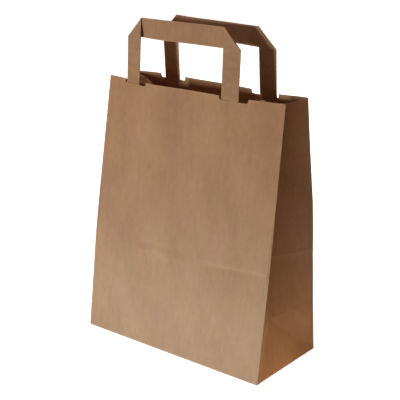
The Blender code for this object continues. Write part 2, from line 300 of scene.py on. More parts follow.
def gusset_point(hand, girth, height):
    """A place on a gusset. Girth runs from the front panel's fold, 0, to the back panel's, BASE_DEPTH."""
    side = "front" if girth <= HALF_DEPTH else "back"
    from_fold = girth if side == "front" else BASE_DEPTH - girth
    edge = panel_point(side, hand * HALF_WIDTH, height)
    if height >= HALF_DEPTH:
        fold = gusset_fold(hand, height)
        up = min((height - HALF_DEPTH) / (SHEET_HEIGHT - HALF_DEPTH), 1.0)
        share = from_fold / HALF_DEPTH
        inward = fold - edge
        outward = Vector((abs(inward.y), -OUTWARD[side] * abs(inward.x), 0.0)).normalized()
        outward.x *= hand
        fullest = 4.0 * share * (1.0 - share)
        place = edge.lerp(fold, share) + outward * GUSSET_BOW[hand, side] * fullest * up ** 2
        place.z -= GUSSET_SAG.get((hand, side), 0.0) * fullest * up ** 6
        return place
    share = height / HALF_DEPTH
    apex = gusset_fold(hand, HALF_DEPTH)
    crease = {name: panel_point(name, hand * HALF_WIDTH, 0.0).lerp(apex, share) for name in OUTWARD}
    if from_fold < height:
        return edge.lerp(crease[side], from_fold / height)
    return crease["front"].lerp(crease["back"], (girth - height) / (BASE_DEPTH - 2 * height))


def face_at(girth):
    """(face, place on it) for a distance round the bag, which starts at the front panel's left fold."""
    girth %= GIRTH
    if girth <= BAG_WIDTH:
        return "front", girth - HALF_WIDTH
    girth -= BAG_WIDTH
    if girth <= BASE_DEPTH:
        return "right", girth
    girth -= BASE_DEPTH
    if girth <= BAG_WIDTH:
        return "back", HALF_WIDTH - girth
    return "left", BASE_DEPTH - (girth - BAG_WIDTH)


def wall_point(girth, height):
    face, place = face_at(girth)
    if face in OUTWARD:
        return panel_point(face, place, height)
    return gusset_point(HANDS[face], place, height)


def soft_wall_point(girth, height):
    """The folded wall with every fold rounded: the middle of four places round the asked one."""
    total = Vector((0.0, 0.0, 0.0))
    for sideways in (-FOLD_SOFTNESS, FOLD_SOFTNESS):
        for up in (-FOLD_SOFTNESS, FOLD_SOFTNESS):
            total += wall_point(girth + sideways, max(height + up, 0.0))
    return total / 4


def layer_drop(girth):
    """How far the bottom fold lies under the sheet's base level there: each side ends on its own layer."""
    girth %= GIRTH
    here = next(i for i in range(4) if girth <= CORNERS[i + 1])
    level = SIDE_LAYER[FACES[here]]
    for corner, beyond in ((CORNERS[here], FACES[here - 1]), (CORNERS[here + 1], FACES[(here + 1) % 4])):
        near = 0.5 - 0.5 * smooth(abs(girth - corner) / LAYER_BLEND)
        level = lerp(level, SIDE_LAYER[beyond], near)
    return 2 * PAPER - level


# Where the sheet's mesh has its lines

def graded(start, end, step, fine=FIRST_STEP):
    """Stops from start to end, fine at both ends and at most a step apart between them."""
    span = end - start
    offsets, gap = [0.0], fine
    while offsets[-1] + gap < span / 2 and gap < step:
        offsets.append(offsets[-1] + gap)
        gap *= STEP_GROWTH
    middle = span - 2 * offsets[-1]
    count = max(1, math.ceil(middle / step))
    inner = [offsets[-1] + middle * i / count for i in range(1, count)]
    back = [span - offset for offset in reversed(offsets)]
    return [start + offset for offset in offsets + inner + back]


def joined(*runs):
    """Several runs of stops as one, each shared end once."""
    stops = []
    for run in runs:
        stops += [stop for stop in run if not stops or stop - stops[-1] > 1e-7]
    return stops


def leg_middles(side):
    half = HANDLE_SPREAD[side] * (HANDLE_WIDTH - STRIP_WIDTH) / 2
    return HANDLE_X[side] - half, HANDLE_X[side] + half


def notch_middles(side):
    return [middle + shift for middle, shift in zip(leg_middles(side), NOTCH_SHIFT[side])]


NOTCH_STOPS = (0.00004, 0.00030, 0.00075, 0.00125, NOTCH_RADIUS)


def panel_stops(side):
    """The panel's upright lines, close together at its folds and at the sides of its notches."""
    marks = []
    for middle in notch_middles(side):
        left, right = middle - NOTCH_WIDTH / 2, middle + NOTCH_WIDTH / 2
        marks.append([left - NOTCH_STOPS[0]] + [left + stop for stop in NOTCH_STOPS])
        marks.append([right - stop for stop in reversed(NOTCH_STOPS)] + [right + NOTCH_STOPS[0]])
    if side == "back":
        marks.append([SEAM_X, SEAM_X + SEAM_RAMP / 2, SEAM_X + SEAM_RAMP])
    edges = [-HALF_WIDTH] + [mark for run in marks for mark in (run[0], run[-1])] + [HALF_WIDTH]
    runs = []
    for i in range(0, len(edges), 2):
        runs.append(graded(edges[i], edges[i + 1], PANEL_STEP, FIRST_PANEL_STEP))
        if i // 2 < len(marks):
            runs.append(marks[i // 2])
    return joined(*runs)


def rim_height(side, x):
    """The cut top edge at x, lower inside the two notches, whose lower corners are round."""
    for middle in notch_middles(side):
        inside = NOTCH_WIDTH / 2 - abs(x - middle)
        if inside > 0.0:
            floor = SHEET_HEIGHT - NOTCH_DEPTH
            if inside >= NOTCH_RADIUS:
                return floor
            return floor + NOTCH_RADIUS - math.sqrt(NOTCH_RADIUS ** 2 - (NOTCH_RADIUS - inside) ** 2)
    return SHEET_HEIGHT


def girth_stops():
    """Every upright line round the bag, as (girth, rim height there)."""
    gusset = joined(graded(0.0, HALF_DEPTH, GUSSET_STEP), graded(HALF_DEPTH, BASE_DEPTH, GUSSET_STEP))[:-1]
    stops = [(x + HALF_WIDTH, rim_height("front", x)) for x in panel_stops("front")[:-1]]
    stops += [(CORNERS[1] + place, SHEET_HEIGHT) for place in gusset]
    stops += [(CORNERS[2] + HALF_WIDTH - x, rim_height("back", x)) for x in panel_stops("back")[:0:-1]]
    stops += [(CORNERS[3] + place, SHEET_HEIGHT) for place in gusset]
    return stops


def row_heights():
    """The level lines of the walls: close together at the bottom, the creases and the rim."""
    return joined(graded(0.0, HALF_DEPTH, FOOT_STEP, FIRST_FOOT_STEP),
                  graded(HALF_DEPTH, CREASE_HEIGHT, WALL_STEP),
                  graded(CREASE_HEIGHT, SHEET_HEIGHT, WALL_STEP))


# Rows above this are drawn down into the notches
NOTCH_ROWS_FROM = SHEET_HEIGHT - 0.009


def drawn_down(height, rim):
    """A row's height in a column whose cut edge lies at that rim height."""
    if height <= NOTCH_ROWS_FROM:
        return height
    return lerp(NOTCH_ROWS_FROM, rim, (height - NOTCH_ROWS_FROM) / (SHEET_HEIGHT - NOTCH_ROWS_FROM))


# Small relief of the sheet, added along its normal

def distance_to_line(point, start, end):
    """Distance in the flat from a point to a straight stretch."""
    along = (end[0] - start[0], end[1] - start[1])
    span = along[0] ** 2 + along[1] ** 2
    share = ((point[0] - start[0]) * along[0] + (point[1] - start[1]) * along[1]) / span
    share = min(max(share, 0.0), 1.0)
    return math.hypot(point[0] - start[0] - share * along[0], point[1] - start[1] - share * along[1])


# On a gusset's back half, as (distance from the back fold, height), with height or depth and width
PACKING_RIDGE = ((0.0030, 0.0280), (0.0330, 0.0620))
RIDGE_RISE, RIDGE_WIDTH = 0.0012, 0.0022
EDGE_NICK = (0.0, 0.0460)
NICK_DEPTH, NICK_WIDTH = 0.00070, 0.0030

# Height of the packing crease across the front panel, and how strongly it shows there
FRONT_CREASE = ((-0.110, 0.0975), (-0.060, 0.0980), (-0.030, 0.1006), (0.020, 0.1008), (0.050, 0.1024),
                (0.080, 0.1042), (0.110, 0.1052))
FRONT_CREASE_SHOWN = ((-0.110, 0.0), (-0.080, 0.0), (-0.060, 0.7), (0.012, 1.0), (0.028, 0.4), (0.045, 1.0),
                      (0.110, 0.9))

# The crease as (how far it stands out, width): on the front panel's left and right, and elsewhere
FRONT_RIDGE, FRONT_HOLLOW, FRONT_CREASE_WIDTH = 0.0019, -0.0014, 0.0021
FRONT_TURN = (0.018, 0.022)  # x where the ridge turns to a hollow, and the stretch it takes
BACK_RIDGE = (0.00025, 0.0016)
GUSSET_RIDGE = (0.00045, 0.0013)
CREASE_WANDER, CREASE_WANDERS = 0.0006, 22.0  # how far, and how often along it

# What shows through of the legs and patch inside, and how softly; small dents; and the height over
# which relief comes in from the bottom
LEG_SHOWS, PATCH_SHOWS = 0.00011, 0.00005
LEG_FOOT_RAMP, LEG_SIDE_MARGIN, LEG_SIDE_RAMP, PATCH_EDGE_RAMP = 0.0015, 0.0010, 0.0016, 0.0012
DENT_DEPTH, DENTS_ACROSS, DENTS_UP = 0.00016, 34.0, 21.0
FOOT_HOLD, SEAM_HOLD, TUCK_HOLD = 0.010, 0.004, 0.007


def crease_height(face, place):
    wander = CREASE_WANDER * noise.noise(Vector((place * CREASE_WANDERS, 4.0, 0.0)))
    return wander + (between_stops(FRONT_CREASE, place) if face == "front" else CREASE_HEIGHT)


def level_crease(face, place, height):
    """The packing crease round the bag: a ridge, which turns to a hollow on the front panel's right."""
    offset = height - crease_height(face, place)
    if face == "front":
        turn = ramp(place, *FRONT_TURN)
        rise = lerp(FRONT_RIDGE, FRONT_HOLLOW, turn) * between_stops(FRONT_CREASE_SHOWN, place)
        return rise * bell(offset, FRONT_CREASE_WIDTH)
    rise, width = BACK_RIDGE if face == "back" else GUSSET_RIDGE
    return rise * bell(offset, width)


def glued_on_inside(face, place, height):
    """What shows outside of the handle's legs and the patch that are glued on the inside."""
    foot = SHEET_HEIGHT - LEG_TUCK
    above_foot = smooth((height - foot) / LEG_FOOT_RAMP)
    legs = 0.0
    for middle in leg_middles(face):
        inside = STRIP_WIDTH / 2 + LEG_SIDE_MARGIN - abs(place - middle)
        legs = max(legs, smooth(inside / LEG_SIDE_RAMP))
    low, high = SHEET_HEIGHT - PATCH_DROP - PATCH_HEIGHT, SHEET_HEIGHT - PATCH_DROP
    inside = min(height - low, high - height,
                 HANDLE_WIDTH / 2 + PATCH_SIDE_MARGIN - abs(place - HANDLE_X[face]))
    return LEG_SHOWS * legs * above_foot + PATCH_SHOWS * smooth(inside / PATCH_EDGE_RAMP)


def seam(place):
    """The sheet's glued end lies over its start from the seam to the back panel's fold."""
    over = smooth((place - SEAM_X) / SEAM_RAMP)
    return SEAM_STEP * over * (1.0 - smooth((place - HALF_WIDTH + SEAM_END) / SEAM_END_RAMP))


# Over this line the gusset is tucked in behind its foot, as (place across the gusset, height)
FOOT_LINE = ((0.0, 0.084), (HALF_DEPTH, 0.0560), (BASE_DEPTH, 0.0))
TUCK_DEPTH = 0.0026
TUCK_DIP, TUCK_RETURN = 0.006, 0.130


def foot_tuck(place, height):
    """The sheet dips behind the line over the foot, and comes out again far above it."""
    past = height - between_stops(FOOT_LINE, place)
    if past <= 0.0:
        return 0.0
    dip = (1.0 - math.exp(-past / TUCK_DIP)) * (1.0 - smooth(past / TUCK_RETURN))
    return -TUCK_DEPTH * dip * smooth(height / TUCK_HOLD)


def relief(face, place, height):
    """How far the paper stands out from its smooth form at a place."""
    held = smooth(height / FOOT_HOLD)
    out = level_crease(face, place, height) * held
    dent_place = Vector((place * DENTS_ACROSS, height * DENTS_UP, 7.0 if face == "front" else 2.0))
    out += DENT_DEPTH * held * noise.noise(dent_place)
    if face in OUTWARD:
        out += glued_on_inside(face, place, height)
        if face == "back":
            out += seam(place) * smooth(height / SEAM_HOLD)
        return out
    out += foot_tuck(place, height)
    if place > HALF_DEPTH:
        from_fold = BASE_DEPTH - place
        out += RIDGE_RISE * bell(distance_to_line((from_fold, height), *PACKING_RIDGE), RIDGE_WIDTH)
        out -= NICK_DEPTH * bell(math.dist((from_fold, height), EDGE_NICK), NICK_WIDTH)
    return out


# How worn the paper is along its folds and edges, as (amount, width of the worn line). Some of these pale
# lines are also painted highlight, as said where they stand.
FLAP_WEAR, BOTTOM_WEAR, FOLD_WEAR, RIM_WEAR = (1.0, 0.0012), (0.9, 0.0012), (1.0, 0.0010), (0.6, 0.0008)
PANEL_CREASE_WEAR_AND_HIGHLIGHT, GUSSET_CREASE_WEAR, RIDGE_WEAR = (0.9, 0.0012), (0.9, 0.0009), (0.7, 0.0011)
TRIANGLE_WEAR, MIDDLE_FOLD_WEAR = (0.4, 0.0009), (0.5, 0.0009)
# The pale line on the strip's corner folds is partly wear and partly a painted highlight of the rounded
# fold's lit edge.
STRIP_EDGE_WEAR, STRIP_CORNER_WEAR_AND_HIGHLIGHT, PATCH_WEAR = (0.7, 0.0007), (0.9, 0.0012), (0.5, 0.0008)
# On the front panel the pale line over the crease runs only on its right and a little above the crease.
# There it is partly wear and partly a painted highlight of the crease's lit lip.
CREASE_HIGHLIGHT_ACROSS = (0.022, 0.020)  # x where it starts on the front panel, and the stretch it takes
CREASE_PALE_LINE_LIFT = 0.0008  # over the crease's own height


def worn(kind, offset):
    amount, width = kind
    return amount * bell(offset, width)


def wear_and_highlight(face, place, height):
    """0 to 1: how worn the paper is, from its distance to the nearest fold or cut edge. On the front
    panel's right, the line just over the crease is also a painted highlight of the crease's lit lip.
    """
    if height < 0.0:
        return worn(FLAP_WEAR, height)
    lines = [worn(BOTTOM_WEAR, height)]
    if face in OUTWARD:
        # On the front panel's right, the crease's pale line is partly painted highlight.
        shown = ramp(place, *CREASE_HIGHLIGHT_ACROSS) if face == "front" else 1.0
        over_crease = height - crease_height(face, place) - CREASE_PALE_LINE_LIFT
        lines += [worn(FOLD_WEAR, HALF_WIDTH - abs(place)), shown * worn(PANEL_CREASE_WEAR_AND_HIGHLIGHT, over_crease),
                  worn(RIM_WEAR, rim_height(face, place) - height)]
        return max(lines)
    from_fold = min(place, BASE_DEPTH - place)
    lines += [worn(FOLD_WEAR, from_fold), worn(RIM_WEAR, SHEET_HEIGHT - height),
              worn(GUSSET_CREASE_WEAR, height - CREASE_HEIGHT)]
    if height < HALF_DEPTH:
        lines.append(worn(TRIANGLE_WEAR, (from_fold - height) * math.sqrt(0.5)))
    else:
        lines.append(worn(MIDDLE_FOLD_WEAR, from_fold - HALF_DEPTH))
    if place > HALF_DEPTH:
        lines.append(worn(RIDGE_WEAR, distance_to_line((BASE_DEPTH - place, height), *PACKING_RIDGE)))
    return max(lines)


# Mesh helpers

def new_object(name, data):
    obj = bpy.data.objects.new(name, data)
    bpy.context.scene.collection.objects.link(obj)
    return obj


class SheetMesh:
    """A mesh in the making, whose points also know their place on the flat sheet and their wear, which in
    places is painted highlight.
    """

    def __init__(self):
        self.bm = bmesh.new()
        self.flat = []
        self.wear = []

    def point(self, place, flat, wear=0.0):
        self.flat.append(flat)
        self.wear.append(wear)
        return self.bm.verts.new(place)

    def cover(self, *rows, closed=False):
        """Faces between each row of points and the next."""
        count = len(rows[0])
        for low, high in zip(rows, rows[1:]):
            for i in range(count if closed else count - 1):
                j = (i + 1) % count
                self.bm.faces.new((low[i], low[j], high[j], high[i]))

    def finish(self, name):
        """The object, with its sheet places and its wear and painted highlight kept as point attributes."""
        mesh = bpy.data.meshes.new(name)
        self.bm.to_mesh(mesh)
        self.bm.free()
        flat = mesh.attributes.new("sheet_place", "FLOAT_VECTOR", "POINT")
        flat.data.foreach_set("vector", [value for place in self.flat for value in place])
        wear = mesh.attributes.new("wear_and_highlight", "FLOAT", "POINT")
        wear.data.foreach_set("value", self.wear)
        return new_object(name, mesh)


def thicken(obj, thickness):
    """Solid paper behind an open sheet. Its cut edges take the second material."""
    solidify = obj.modifiers.new("paper", "SOLIDIFY")
    solidify.thickness = thickness
    solidify.offset = -1.0
    solidify.material_offset_rim = 1
    depsgraph = bpy.context.evaluated_depsgraph_get()
    mesh = bpy.data.meshes.new_from_object(obj.evaluated_get(depsgraph))
    mesh.name = obj.name
    obj.modifiers.clear()
    obj.data = mesh


# The body

def tucked_place(face, place, reach):
    """A place on a bottom flap or ear, at a distance past the bottom fold."""
    if face in OUTWARD:
        x = place * (HALF_WIDTH - reach) / HALF_WIDTH
        return Vector((x, OUTWARD[face] * (HALF_DEPTH - reach), SIDE_LAYER[face]))
    y = (place - HALF_DEPTH) * (1.0 - EAR_SLIMMER * smooth(reach / EAR_SLIMMER_RAMP))
    return Vector((HANDS[face] * (HALF_WIDTH - reach), y, SIDE_LAYER[face]))


def make_body():
    sheet = SheetMesh()
    stops = girth_stops()
    rows = []
    places = []
    for row_height in row_heights():
        row = []
        for girth, rim in stops:
            height = drawn_down(row_height, rim)
            point = soft_wall_point(girth, height)
            point.z -= layer_drop(girth) * (1.0 - smooth(height / LAYER_RISE))
            face, place = face_at(girth)
            row.append(sheet.point(point, (girth, height, 0.0), wear_and_highlight(face, place, height)))
            places.append((face, place, height))
        rows.append(row)
    sheet.cover(*rows, closed=True)

    for face, start, end in zip(FACES, CORNERS, CORNERS[1:]):
        columns = [i for i, (girth, _rim) in enumerate(stops) if start - 1e-6 <= girth <= end + 1e-6]
        if face == "left":
            columns.append(0)
        above = [rows[0][i] for i in columns]
        for reach in graded(0.0, FLAP_REACH, FLAP_STEP, FIRST_FOOT_STEP)[1:]:
            row = []
            for i in columns:
                girth = stops[i][0] if (face, i) != ("left", 0) else GIRTH
                _face, place = face_at(min(max(girth, start + 1e-7), end - 1e-7))
                point = tucked_place(face, place, reach)
                row.append(sheet.point(point, (girth, -reach, 0.0), wear_and_highlight(face, place, -reach)))
                places.append((face, place, -reach))
            sheet.cover(row, above)
            above = row

    body = sheet.finish("kraft_sheet_body")
    mesh = body.data
    normals = [vertex.normal.copy() for vertex in mesh.vertices]
    for vertex, normal, (face, place, height) in zip(mesh.vertices, normals, places):
        if height > 0.0:
            vertex.co += normal * relief(face, place, height)
    return body


# The handles

FOLD_RADIUS = (STRIP_THICKNESS + STRIP_FOLD_GAP) / 2
ROLL = math.pi * FOLD_RADIUS / 2  # from a corner fold's middle to where it lies flat
LEG_LENGTH = LEG_TUCK + HANDLE_RISE - STRIP_WIDTH
STRIP_LENGTH = 2 * LEG_LENGTH + HANDLE_WIDTH


def folded_strip(along, across, out):
    """A place in the folded strip as (x from the handle's middle, height over the foot, depth).

    Along runs from foot to foot, and across from the leg's outer edge to its inner one. Out is
    measured from the middle of the strip's thickness, towards the outside of the bag on a leg.
    """
    if along > STRIP_LENGTH / 2:
        x, height, depth = folded_strip(STRIP_LENGTH - along, across, out)
        return -x, height, depth
    left = -HANDLE_WIDTH / 2
    lengthwise = (along - LEG_LENGTH + across) / math.sqrt(2.0)
    past = (along - LEG_LENGTH - across) / math.sqrt(2.0)
    leg_depth = PAPER + GLUE_GAP + STRIP_THICKNESS / 2
    if past <= -ROLL:
        outwards, depth = past + ROLL, leg_depth - out
    elif past >= ROLL:
        outwards, depth = ROLL - past, leg_depth + 2 * FOLD_RADIUS + out
    else:
        turn = (past + ROLL) / FOLD_RADIUS
        outwards = (FOLD_RADIUS + out) * math.sin(turn)
        depth = leg_depth + FOLD_RADIUS - (FOLD_RADIUS + out) * math.cos(turn)
    outwards -= FOLD_RADIUS
    x = left + (lengthwise - outwards) / math.sqrt(2.0)
    height = LEG_LENGTH + (lengthwise + outwards) / math.sqrt(2.0)
    return x, height, depth


FAN_RUNGS, FOLD_RUNGS, BAR_RUNGS = 6, 12, 12


def fanned(start, end, count):
    """Rungs between two given ones, which turn evenly from the one to the other."""
    return [(lerp(start[0], end[0], i / count), lerp(start[1], end[1], i / count)) for i in range(1, count)]


def strip_rungs():
    """Lines across the strip from its foot to its middle, as (along at the outer edge, at the inner)."""
    width, roll = STRIP_WIDTH, ROLL * math.sqrt(2.0)
    leg_end, bar_start = LEG_LENGTH - width, LEG_LENGTH + 2 * width
    rungs = [(along, along) for along in graded(0.0, leg_end, STRIP_STEP)]
    rungs += fanned((leg_end, leg_end), (LEG_LENGTH - roll, LEG_LENGTH + width - roll), FAN_RUNGS)
    for i in range(FOLD_RUNGS + 1):
        turn = lerp(-roll, roll, i / FOLD_RUNGS)
        rungs.append((LEG_LENGTH + turn, LEG_LENGTH + width + turn))
    rungs += fanned((LEG_LENGTH + roll, LEG_LENGTH + width + roll), (bar_start, bar_start), FAN_RUNGS)
    for i in range(BAR_RUNGS + 1):
        along = lerp(bar_start, STRIP_LENGTH / 2, i / BAR_RUNGS)
        rungs.append((along, along))
    return rungs


def strip_section():
    """The strip's outline as (across, out): two flat faces, and edges where the layers show."""
    half = STRIP_THICKNESS / 2
    flats = graded(0.0, STRIP_WIDTH, STRIP_CROSS_STEP, FIRST_STRIP_STEP)
    outline = [(across, half) for across in flats]
    for layer in range(STRIP_LAYERS):
        top = half - STRIP_THICKNESS * layer / STRIP_LAYERS
        middle = top - STRIP_THICKNESS / STRIP_LAYERS / 2
        if layer:
            outline.append((STRIP_WIDTH - LAYER_GROOVE, top))
        outline.append((STRIP_WIDTH + LAYER_BULGE, middle))
    outline += [(across, -half) for across in reversed(flats)]
    for i in range(1, 6):
        turn = math.pi * i / 6
        outline.append((-ROUND_EDGE * math.sin(turn), -half * math.cos(turn)))
    return outline


def strip_relief(side, along, across):
    """Slight unevenness of the layered strip, the same through its thickness."""
    place = Vector((along * WAVES_ALONG, across * WAVES_ACROSS, 11.0 * OUTWARD[side]))
    return STRIP_UNEVENNESS * noise.noise(place)


# Pale line along the strip's edges, from wear, and along its corner folds, from wear and a painted
# highlight of the fold's lit edge.
def strip_wear_and_highlight(along, across):
    past = abs(min(along, STRIP_LENGTH - along) - LEG_LENGTH - across) / math.sqrt(2.0)
    return max(worn(STRIP_EDGE_WEAR, min(across, STRIP_WIDTH - across)), worn(STRIP_CORNER_WEAR_AND_HIGHLIGHT, past))


def corner_opening(side, along, across):
    """How far the bar stands off behind a leg, because the corner fold isn't pressed flat."""
    total = 0.0
    for opening, from_foot in zip(CORNER_OPENING[side], (along, STRIP_LENGTH - along)):
        past = (from_foot - LEG_LENGTH - across) / math.sqrt(2.0)
        fading = smooth((past - OPENING_GROWS) / OPENING_FADES)
        total += opening * smooth(past / OPENING_GROWS) * (1.0 - fading)
    return total


def make_handle(side):
    sheet = SheetMesh()
    section = strip_section()
    first_half = strip_rungs()
    second_half = [(STRIP_LENGTH - outer, STRIP_LENGTH - inner)
                   for outer, inner in reversed(first_half[:-1])]
    foot = SHEET_HEIGHT - LEG_TUCK
    rings = []
    for outer, inner in first_half + second_half:
        ring = []
        for across, out in section:
            along = lerp(outer, inner, across / STRIP_WIDTH)
            x, height, depth = folded_strip(along, across, out + strip_relief(side, along, across))
            depth += corner_opening(side, along, across)
            tilt = lerp(*HANDLE_TILT[side], x / HANDLE_WIDTH + 0.5)
            height += tilt * smooth((height - LEG_TUCK) / HANDLE_RISE)
            x = HANDLE_X[side] + HANDLE_SPREAD[side] * x
            point = under_panel(side, x, foot + height, depth)
            ring.append(sheet.point(point, (along, across, out), strip_wear_and_highlight(along, across)))
        rings.append(ring)
    sheet.cover(*rings, closed=True)
    sheet.bm.faces.new(list(reversed(rings[0])))
    sheet.bm.faces.new(rings[-1])
    bmesh.ops.recalc_face_normals(sheet.bm, faces=sheet.bm.faces)
    return sheet.finish(f"{side}_strip_handle")


# The patches

def patch_depth(side, x):
    """Depth of the patch's panel side: on the panel, and up over each leg."""
    on_panel = PAPER + PATCH_OFF_PANEL
    over_leg = PAPER + GLUE_GAP + STRIP_THICKNESS + PATCH_OFF_LEG
    raised = 0.0
    for middle in leg_middles(side):
        beyond = abs(x - middle) - STRIP_WIDTH / 2 - PATCH_CLEARANCE
        raised = max(raised, 1.0 - smooth(beyond / PATCH_RAMP))
    return lerp(on_panel, over_leg, raised)


def make_patch(side):
    sheet = SheetMesh()
    edge = HANDLE_WIDTH / 2 + PATCH_SIDE_MARGIN
    top = SHEET_HEIGHT - PATCH_DROP
    marks = [-edge]
    for middle in leg_middles(side):
        from_middle = middle - HANDLE_X[side]
        marks += [from_middle - STRIP_WIDTH / 2 - PATCH_RAMP, from_middle + STRIP_WIDTH / 2 + PATCH_RAMP]
    marks.append(edge)
    stops = joined(*[graded(start, end, PATCH_STEP) for start, end in zip(marks, marks[1:])])
    rows = []
    for height in graded(top - PATCH_HEIGHT, top, PATCH_ROW_STEP):
        row = []
        for stop in stops:
            x = HANDLE_X[side] + stop
            place = Vector((x * CRINKLES_ACROSS, height * CRINKLES_UP, 3.0 * OUTWARD[side]))
            crinkle = PATCH_CRINKLE * abs(noise.noise(place))
            point = under_panel(side, x, height, patch_depth(side, x) + crinkle)
            margin = min(edge - abs(stop), top - height, height - top + PATCH_HEIGHT)
            row.append(sheet.point(point, (height, stop + PATCH_PATTERN, 0.0), worn(PATCH_WEAR, margin)))
        rows.append(row)
    sheet.cover(*rows)
    if side == "back":
        bmesh.ops.reverse_faces(sheet.bm, faces=sheet.bm.faces)
    return sheet.finish(f"{side}_patch_sheet")


# Node helpers

def fill(tree, node, inputs):
    """Gives a node's inputs their values, or wires them to other sockets."""
    for key, value in inputs.items():
        if isinstance(value, bpy.types.NodeSocket):
            tree.links.new(value, node.inputs[key])
        else:
            node.inputs[key].default_value = value


def add(tree, kind, inputs=None, **settings):
    """A node with its settings and its named inputs filled."""
    made = tree.nodes.new(kind)
    for name, value in settings.items():
        setattr(made, name, value)
    fill(tree, made, inputs or {})
    return made


def maths(tree, operation, first, second, clamp=False):
    return add(tree, "ShaderNodeMath", {0: first, 1: second}, operation=operation,
               use_clamp=clamp).outputs[0]


def times(tree, first, second, clamp=False):
    return maths(tree, "MULTIPLY", first, second, clamp)


def weighed(tree, *parts):
    """The sum of several values, each given with its weight."""
    total = None
    for value, weight in parts:
        part = times(tree, value, weight)
        total = part if total is None else maths(tree, "ADD", total, part)
    return total


def blended(tree, share, first, second):
    """Two colours mixed by a share."""
    return add(tree, "ShaderNodeMix", {0: share, 6: first, 7: second}, data_type="RGBA",
               clamp_result=True).outputs[2]


def ranged(tree, value, low, high, to_low=0.0, to_high=1.0):
    """A value stretched from one range to another and held within it."""
    return add(tree, "ShaderNodeMapRange", {"Value": value, "From Min": low, "From Max": high,
                                            "To Min": to_low, "To Max": to_high}).outputs[0]


def stretched(tree, place, stretch, turn=0.0, shift=(0.0, 0.0, 0.0)):
    """Sheet places turned in the sheet, then drawn out up it and shifted."""
    turned = add(tree, "ShaderNodeVectorRotate", {"Vector": place, "Angle": turn}, rotation_type="Z_AXIS")
    return add(tree, "ShaderNodeMapping", {"Vector": turned.outputs[0], "Scale": (1.0, stretch, 1.0),
                                           "Location": shift}).outputs[0]


def clouds(tree, place, scale, detail=2.0, roughness=0.5):
    return add(tree, "ShaderNodeTexNoise", {"Vector": place, "Scale": scale, "Detail": detail,
                                            "Roughness": roughness}).outputs["Fac"]


def new_group(name, inputs, outputs):
    """An empty shader node group with those sockets, given by their kind."""
    tree = bpy.data.node_groups.new(name, "ShaderNodeTree")
    for in_out, sockets in (("INPUT", inputs), ("OUTPUT", outputs)):
        for kind, names in sockets.items():
            for socket in names:
                tree.interface.new_socket(socket, in_out=in_out, socket_type=f"NodeSocket{kind}")
    return tree, tree.nodes.new("NodeGroupInput").outputs, tree.nodes.new("NodeGroupOutput")


# Shared effects

# Ranges of the noise in which an effect comes in
NOISE_REACH, ROSY_REACH, BREAK_UP_REACH = (0.34, 0.66), (0.40, 0.62), (0.36, 0.62)
PALE_FIBRE_REACH, DARK_FIBRE_REACH = (0.62, 0.76), (0.64, 0.78)
SPECK_CHANCE, SPECK_SIZE = (0.86, 0.94), (0.16, 0.07)
GRAIN_REACH, GRAIN_ROUGHNESS = (0.3, 0.7), (0.66, 0.86)

# The pulp's patterns, as (how close, how far drawn out up the sheet, how fine, where in the noise)
BROAD_CLOUDS = (26.0, 0.55, 3.0, (0.0, 0.0, 0.0))
SMALL_CLOUDS = (210.0, 0.60, 2.0, (3.1, 0.4, 0.0))
ROSY_CLOUDS = (34.0, 0.70, 2.0, (8.0, 3.0, 0.0))
WIDE_STREAKS = (210.0, 0.24, 2.0, (0.7, 0.2, 0.0))
FINE_STREAKS = (900.0, 0.16, 1.0, (1.9, 0.6, 0.0))
FIBRE_SCALE, FIBRE_STRETCH, FIBRE_TURNS = 2300.0, 0.12, (0.25, -0.55, 1.05)
SPECK_SCALE, SPECK_STRETCH, SPECK_TURN = 260.0, 0.55, 0.3
GRAIN_SCALE, RAGGED_SCALE = 1500.0, 620.0


def pattern(tree, place, scale, stretch, detail, shift, turn=0.0):
    return clouds(tree, stretched(tree, place, stretch, turn, shift), scale, detail)


